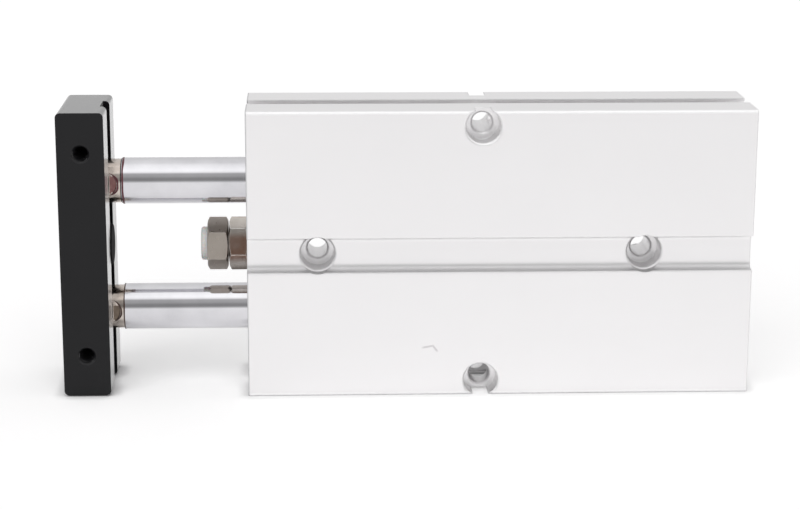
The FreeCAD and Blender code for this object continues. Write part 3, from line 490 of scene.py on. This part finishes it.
# %% Finishes: turned pieces
TURNED = {
    "gland_alloy": ((0.62, 0.60, 0.55), 0.9, 0.30),
    "cap_alloy": ((0.68, 0.68, 0.69), 0.9, 0.26),
    "piston_alloy": ((0.70, 0.70, 0.70), 0.9, 0.28),
    "bush_bronze": ((0.50, 0.36, 0.20), 0.9, 0.35),
    "plug_steel": ((0.58, 0.58, 0.58), 0.9, 0.35),
    "wear_plastic": ((0.72, 0.70, 0.64), 0.0, 0.45),
}
axis_height = {side: sum(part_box(f"rod_{side}"), Vector()).z / 2 for side in ("upper", "lower")}
for name, (colour, metallic, roughness) in TURNED.items():
    for side, level in axis_height.items():
        material, tree, shader = new_finish(f"{name}_{side}", colour, metallic, roughness)
        marks = use(tree, turning, Height=level, Spacing=0.12 * MM)
        handled = use(tree, skin, Speckle=1500.0, Blotch=180.0)
        shade = tint(tree, handled["Blotch"], [part * 0.86 for part in colour], colour)
        feed(tree, shader, Base_Color=shade,
             Roughness=spread(tree, marks["Rings"], roughness - 0.08, roughness + 0.14))
        emboss(tree, shader, marks["Rings"], 0.004 * MM)
        finishes[f"{name}_{side}"] = material
print("finishes:", ", ".join(TURNED))

# %% [markdown]
# ## Dried thread sealant
# The necks carry red and brown residue, which looks like thread locking compound that was squeezed
# out and dried: a thin tinted film, and dark beads where it gathered. The film lets the steel show
# through, which a half metallic colour imitates without any see-through surface. These are marks
# of one used object, so another copy of the part could leave them out.

# %% Finishes: sealant
SEALANT = {
    "red_bead": ((0.075, 0.010, 0.018), (0.17, 0.045, 0.055), 0.1, 0.28),
    "brown_bead": ((0.035, 0.014, 0.009), (0.09, 0.045, 0.032), 0.1, 0.32),
    "red_film": ((0.22, 0.09, 0.09), (0.40, 0.22, 0.205), 0.6, 0.3),
    "brown_film": ((0.13, 0.09, 0.065), (0.34, 0.27, 0.21), 0.6, 0.34),
}
for name, (dark, pale, metallic, roughness) in SEALANT.items():
    material, tree, shader = new_finish(name, dark, metallic, roughness)
    cloud = use(tree, skin, Speckle=3000.0, Blotch=900.0)
    feed(tree, shader, Base_Color=tint(tree, cloud["Blotch"], dark, pale),
         Roughness=spread(tree, cloud["Speckle"], roughness - 0.1, roughness + 0.15))
    emboss(tree, shader, cloud["Speckle"], 0.01 * MM)
    finishes[name] = material
print("finishes:", ", ".join(SEALANT))

# %% [markdown]
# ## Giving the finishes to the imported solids
# The record says which slot each node belongs to. A node's mesh is never touched: only the
# material in its slot is swapped.

# %% Assign the finishes
for part in record["subparts"]:
    name, side = part["material_slot"], part["node"].rsplit("_", 1)[-1]
    finish = finishes.get(name) or finishes[f"{name}_{side if side in axis_height else 'lower'}"]
    for holder in nodes[part["node"]].material_slots:
        holder.material = finish
print(f"{len(record['subparts'])} nodes finished")

# %% [markdown]
# ## Screw threads
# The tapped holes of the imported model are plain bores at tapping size, and a real one shows a
# helix. It could be a bump, but a bump has no depth when you look into the hole at a slant, so
# each thread is a real ridge: a small flat-topped profile carried round a helix, with its root sunk
# in the wall and its two ends tapered off. A real thread is cut outwards from such a bore. The
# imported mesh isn't cut here, so the ridge stands inwards by about a third of its pitch, and the
# hole looks that much narrower than it should.


# %% Helpers: a lofted piece and a helical ridge
STEPS_PER_TURN, CREST_WIDTH, ROOT_WIDTH = 40, 0.12, 0.92


def loft(name, sections, closed=False):
    """Join rings of points into one closed skin. A closed loft runs on from its last ring to its first."""
    mesh = bmesh.new()
    rings = [[mesh.verts.new(point) for point in section] for section in sections]
    count = len(rings[0])
    for one, two in zip(rings, rings[1:] + rings[:1] if closed else rings[1:]):
        for index in range(count):
            following = (index + 1) % count
            mesh.faces.new((one[index], one[following], two[following], two[index]))
    if not closed:
        mesh.faces.new(rings[0])
        mesh.faces.new(rings[-1][::-1])
    bmesh.ops.recalc_face_normals(mesh, faces=mesh.faces)
    data = bpy.data.meshes.new(name)
    mesh.to_mesh(data)
    mesh.free()
    piece = bpy.data.objects.new(name, data)
    bpy.context.scene.collection.objects.link(piece)
    return piece


def dress(piece, finish, rider):
    """Give an added piece its finish and the body it rides on."""
    piece.data.materials.append(finishes[finish])
    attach(piece, rider)


def helix_ridge(name, root, crest, pitch, length, to_place):
    """Closed ridge wound along +X from 0 to length, from a root radius to a crest radius.

    The crest's and the root's widths are parts of the pitch.
    """
    turns = length / pitch
    steps = int(turns * STEPS_PER_TURN)
    sections = []
    for step in range(steps + 1):
        part = step / steps
        taper = min(1.0, part * turns, (1 - part) * turns)
        angle = 2 * math.pi * turns * part
        reach = root + (crest - root) * taper
        profile = ((root, -ROOT_WIDTH / 2), (reach, -CREST_WIDTH / 2), (reach, CREST_WIDTH / 2),
                   (root, ROOT_WIDTH / 2))
        sections.append([to_place @ Vector((length * part + pitch * shift * (0.2 + 0.8 * taper),
                                            radius * math.cos(angle), radius * math.sin(angle)))
                         for radius, shift in profile])
    return loft(name, sections)


def facing(position, axis):
    """Matrix that takes +X to a direction and the origin to a position."""
    turn = Vector((1, 0, 0)).rotation_difference(Vector(axis)).to_matrix().to_4x4()
    return Matrix.Translation(position) @ turn


print("thread helper ready")

# %% Threads in the tapped holes
PITCH = {"side": 0.7 * MM, "load": 0.8 * MM, "port": 0.8 * MM}
for name, mount in mounts.items():
    if mount["kind"] != "threaded_hole":
        continue
    kind = name.split("_")[0]
    wall = mount["dims"]["r_mm"] * MM
    mouth, outward = Vector(mount["pos_m"]), Vector(mount["axis"])
    length = mount["dims"]["length_mm"] * MM - PITCH[kind]
    inside = facing(mouth - outward * PITCH[kind] / 2, -outward)
    ridge = helix_ridge(f"thread_{name}", wall + 0.08 * MM, wall - 0.32 * PITCH[kind], PITCH[kind],
                        length, inside)
    finish, rider = ("body_alloy", "housing") if kind == "port" else ("plate_alloy", "carriage")
    dress(ridge, finish, rider)
    print(ridge.name, f"{length / PITCH[kind]:.1f} turns")

# %% [markdown]
# ## Edges of the sensor slots
# The lips of an extruded slot are never knife sharp: a tumbled edge leaves a narrow slope that
# catches the light as one thin line along the body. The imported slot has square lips, so a slim
# prism is laid along each lip's mouth. Its top runs out just below the body's narrow side. The
# width of the slot's mouth repeats the part's source, so a change there has to be made here too.

# %% Slopes along the slot lips
SLOT_HALF, LIP_BEVEL, SUNK = 2.6 * MM, 0.24 * MM, 0.02 * MM
for level, inward in ((body_high.z, -1), (body_low.z, 1)):
    for side in (1, -1):
        wall = side * (SLOT_HALF + SUNK)
        corner = level + inward * SUNK
        profile = ((wall, corner), (wall, corner + inward * LIP_BEVEL),
                   (wall - side * LIP_BEVEL * 0.8, corner + inward * LIP_BEVEL))
        ends = (body_low.x + 0.1 * MM, body_high.x - 0.1 * MM)
        strip = loft(f"lip_slope_{'top' if inward < 0 else 'bottom'}_{'far' if side > 0 else 'near'}",
                     [[(x, y, z) for y, z in profile] for x in ends])
        dress(strip, "body_alloy", "housing")
print("slopes on four lips")

# %% [markdown]
# ## Sealant on the rods' necks
# Sealant dries in three shapes: a ring where it wicked round the neck's shoulder, a bead along the
# rounded end of the spanner flat, and a film over the flat itself. Each is lofted from cross
# sections whose size wanders with a little noise, because nothing that dries has an even edge.
# Their heights come from the rods' boxes and their place from the plate's back. The sizes of the
# rod, its neck and its flats repeat the part's source, so a change there has to be made here too.

# %% Sealant rings, beads and films
NECK_RADIUS, SHOULDER = 4.75 * MM, neck_start + NECK_LENGTH
FLAT_Y, FLAT_END, CUTTER_RADIUS = -4.0 * MM, neck_start + 1.8 * MM, 2.6 * MM
ROD_RADIUS, WIDEST_RISE = 5.0 * MM, 2.5 * MM


def wander(seed, place, amount):
    """Smooth noise about one, for a size that varies along a bead."""
    return 1 + amount * noise.noise(Vector((seed, place, 0.5 * place)))


def shoulder_ring(name, level, start, width, seed):
    """Low ring of dried sealant round the start of the rod."""
    sections, count = [], 96
    for step in range(count):
        angle = 2 * math.pi * step / count
        spread_out = width * wander(seed, 2 * math.sin(angle) + math.cos(angle), 0.35)
        profile = ((start, 0.97), (start + 0.15 * spread_out, 1.006), (start + 0.6 * spread_out, 1.007),
                   (start + spread_out, 1.0), (start + spread_out, 0.97))
        out, up = math.cos(angle), math.sin(angle)
        sections.append([(x, ROD_RADIUS * reach * out, level + ROD_RADIUS * reach * up)
                         for x, reach in profile])
    return loft(name, sections, closed=True)


def flat_bead(name, level, low_angle, high_angle, width, seed):
    """Bead that fills the corner along the rounded end of the near spanner flat."""
    sections, count = [], 28
    for step in range(count + 1):
        part = step / count
        angle = math.radians(low_angle + (high_angle - low_angle) * part)
        fill = width * (0.12 + math.sin(math.pi * part)) * wander(seed, 5 * part, 0.35)
        profile = []
        for reach, on_neck, lift in ((-0.6, False, -0.03), (-0.5, False, 0.05), (-0.15, False, 0.22),
                                     (0.1, True, 0.05), (1.0, True, 0.05), (1.15, True, -0.05)):
            radius = CUTTER_RADIUS + reach * fill
            rise = radius * math.sin(angle)
            on_round = -math.sqrt(NECK_RADIUS ** 2 - min(abs(rise), WIDEST_RISE) ** 2)
            base = on_round if on_neck else FLAT_Y
            along = FLAT_END - CUTTER_RADIUS + radius * math.cos(angle)
            profile.append((along, base - lift * MM, level + rise))
        sections.append(profile)
    return loft(name, sections)


def flat_film(name, level, low, high, seed):
    """Thin film over the flat, between two heights, from the plate to near the flat's end."""
    sections, count, across = [], 16, 14
    start, end = neck_start + 0.25 * MM, FLAT_END - 0.12 * MM
    for step in range(count + 1):
        x = start + (end - start) * step / count
        bulge = math.sqrt(max(0.0, 1 - ((x - start) / (end - start)) ** 4))
        bottom = level + low * (0.35 + 0.65 * bulge) * wander(seed, step * 0.4, 0.25)
        top = level + high * (0.35 + 0.65 * bulge) * wander(seed + 7, step * 0.4, 0.25)
        skin_points = []
        for index in range(across + 1):
            z = bottom + (top - bottom) * index / across
            rim = min(1.0, 4 * index / across, 4 * (across - index) / across)
            thick = 0.03 * MM + 0.04 * MM * rim * wander(seed, 2 * index + step, 0.6)
            skin_points.append((x, FLAT_Y - thick, z))
        sections.append(skin_points + [(x, FLAT_Y + 0.03 * MM, top), (x, FLAT_Y + 0.03 * MM, bottom)])
    return loft(name, sections)


upper, lower = axis_height["upper"], axis_height["lower"]
SEALANT_PIECES = (
    (shoulder_ring("sealant_ring_upper", upper, SHOULDER + 0.26 * MM, 0.5 * MM, 1.3), "red_bead"),
    (shoulder_ring("sealant_ring_lower", lower, SHOULDER - 0.02 * MM, 0.3 * MM, 4.1), "brown_bead"),
    (flat_bead("sealant_bead_upper", upper, -66, 66, 0.42 * MM, 2.2), "red_bead"),
    (flat_bead("sealant_bead_lower", lower, -60, 60, 0.36 * MM, 8.4), "brown_bead"),
    (flat_film("sealant_film_upper", upper, -1.9 * MM, 1.8 * MM, 5.7), "red_film"),
    (flat_film("sealant_film_lower", lower, -2.1 * MM, 1.2 * MM, 3.3), "brown_film"),
)
for piece, finish in SEALANT_PIECES:
    dress(piece, finish, "carriage")
print("sealant on both necks")

# %% [markdown]
# ## Floor, backdrop and light
# The cylinder stands on a white sweep under soft light. One large plane is floor and backdrop in
# one. Its material adds a little glow that only camera, mirror and see-through rays pick up. That
# lifts the paper to white while the shadow on it stays, and adds nothing to the object's diffuse
# light. The Light Path node tells those rays apart. Glow would also fill the thin dark line where
# the body meets the paper, so an Ambient Occlusion node fades it within a few millimetres of the
# contact.

# %% Floor
FLOOR_REACH, FLOOR_GAP = 3.0, 0.02 * MM
floor_mesh = bmesh.new()
bmesh.ops.create_grid(floor_mesh, x_segments=8, y_segments=8, size=FLOOR_REACH)
floor_data = bpy.data.meshes.new("floor")
floor_mesh.to_mesh(floor_data)
floor_mesh.free()
floor = bpy.data.objects.new("floor", floor_data)
floor.location.z = body_low.z - FLOOR_GAP
bpy.context.scene.collection.objects.link(floor)

PAPER_GLOW, CONTACT_REACH, CONTACT_FADE = 0.30, 3.0 * MM, 3.0
paper = bpy.data.materials.new("white_paper")
paper.use_nodes = True
tree = paper.node_tree
shader = tree.nodes["Principled BSDF"]
shader.inputs["Base Color"].default_value = (0.93, 0.93, 0.93, 1)
shader.inputs["Roughness"].default_value = 0.9
shader.inputs["Specular IOR Level"].default_value = 0.0
rays = add(tree, "LightPath")
seen = maths(tree, "MAXIMUM", rays.outputs["Is Camera Ray"],
             maths(tree, "MAXIMUM", rays.outputs["Is Glossy Ray"], rays.outputs["Is Transmission Ray"]))
open_sky = add(tree, "AmbientOcclusion", {"Distance": CONTACT_REACH}, samples=8).outputs["AO"]
fade = maths(tree, "POWER", open_sky, CONTACT_FADE)
strength = maths(tree, "MULTIPLY", maths(tree, "MULTIPLY", seen, PAPER_GLOW), fade)
glow = add(tree, "Emission", {"Strength": strength})
both = add(tree, "AddShader", {0: shader.outputs[0], 1: glow.outputs[0]})
tree.links.new(both.outputs[0], tree.nodes["Material Output"].inputs["Surface"])
floor.data.materials.append(paper)
print("floor", FLOOR_REACH * 2, "m wide")

# %% [markdown]
# ## The room that the chrome mirrors
# Polished rods show the room, not their own colour. A dark gap in front, below a bright softbox,
# is one room that gives chrome a dark band and a white band. The world holds it as a gradient over
# the angle from the front horizon, over the top, to the back. Its levels were tuned and aren't a
# measured room. Only mirror rays see it: camera and see-through rays meet plain white, and
# everything else gets an even soft light.

# %% World
ROOM = [(0, 0.66), (5, 0.42), (10, 0.22), (20, 0.22), (30, 0.33), (44, 0.38), (51, 0.85), (60, 1.0),
        (92, 0.86), (108, 0.70), (128, 0.66), (150, 0.58), (166, 0.59), (180, 0.48)]
ROOM_STRENGTH, AMBIENT = 1.4, 0.5
world = bpy.data.worlds.new("studio")
bpy.context.scene.world = world
world.use_nodes = True
tree = world.node_tree
tree.nodes.clear()
look = add(tree, "SeparateXYZ", {0: add(tree, "TexCoord").outputs["Generated"]})
toward = maths(tree, "MULTIPLY", look.outputs["Y"], -1.0)
turn = maths(tree, "DIVIDE", maths(tree, "ARCTAN2", look.outputs["Z"], toward), math.pi)
room = add(tree, "ValToRGB", {"Fac": turn})
ramp = room.color_ramp
while len(ramp.elements) < len(ROOM):
    ramp.elements.new(0.5)
for element, (angle, level) in zip(ramp.elements, ROOM):
    element.position, element.color = angle / 180, (level, level, level, 1)
rays = add(tree, "LightPath")
even = add(tree, "Background", {"Color": (1.0, 0.99, 0.995, 1), "Strength": AMBIENT})
mirrored = add(tree, "Background", {"Color": room.outputs["Color"], "Strength": ROOM_STRENGTH})
white = add(tree, "Background", {"Color": (1, 1, 1, 1), "Strength": 1.0})
lit = add(tree, "MixShader", {0: rays.outputs["Is Glossy Ray"], 1: even.outputs[0], 2: mirrored.outputs[0]})
clear = maths(tree, "MAXIMUM", rays.outputs["Is Camera Ray"], rays.outputs["Is Transmission Ray"])
shown = add(tree, "MixShader", {0: clear, 1: lit.outputs[0], 2: white.outputs[0]})
add(tree, "OutputWorld", {"Surface": shown.outputs[0]})
print("world ready")

# %% [markdown]
# ## Lamps
# One broad lamp stands in front and above. A sun with a very wide angle lights evenly however far
# the object reaches, and its shadow is as soft as a large softbox's. It is hidden from mirror rays,
# because the world's gradient already holds the softbox that the chrome shows.

# %% Key light
KEY_HEIGHT, KEY_SIDE, KEY_STRENGTH, KEY_SIZE = 38, -12, 1.45, 70
key = bpy.data.objects.new("key_light", bpy.data.lights.new("key_light", "SUN"))
key.data.energy = KEY_STRENGTH
key.data.angle = math.radians(KEY_SIZE)
key.visible_glossy = False
key.rotation_euler = (math.radians(90 - KEY_HEIGHT), 0, math.radians(KEY_SIDE))
bpy.context.scene.collection.objects.link(key)
print("key light from", KEY_HEIGHT, "degrees up")
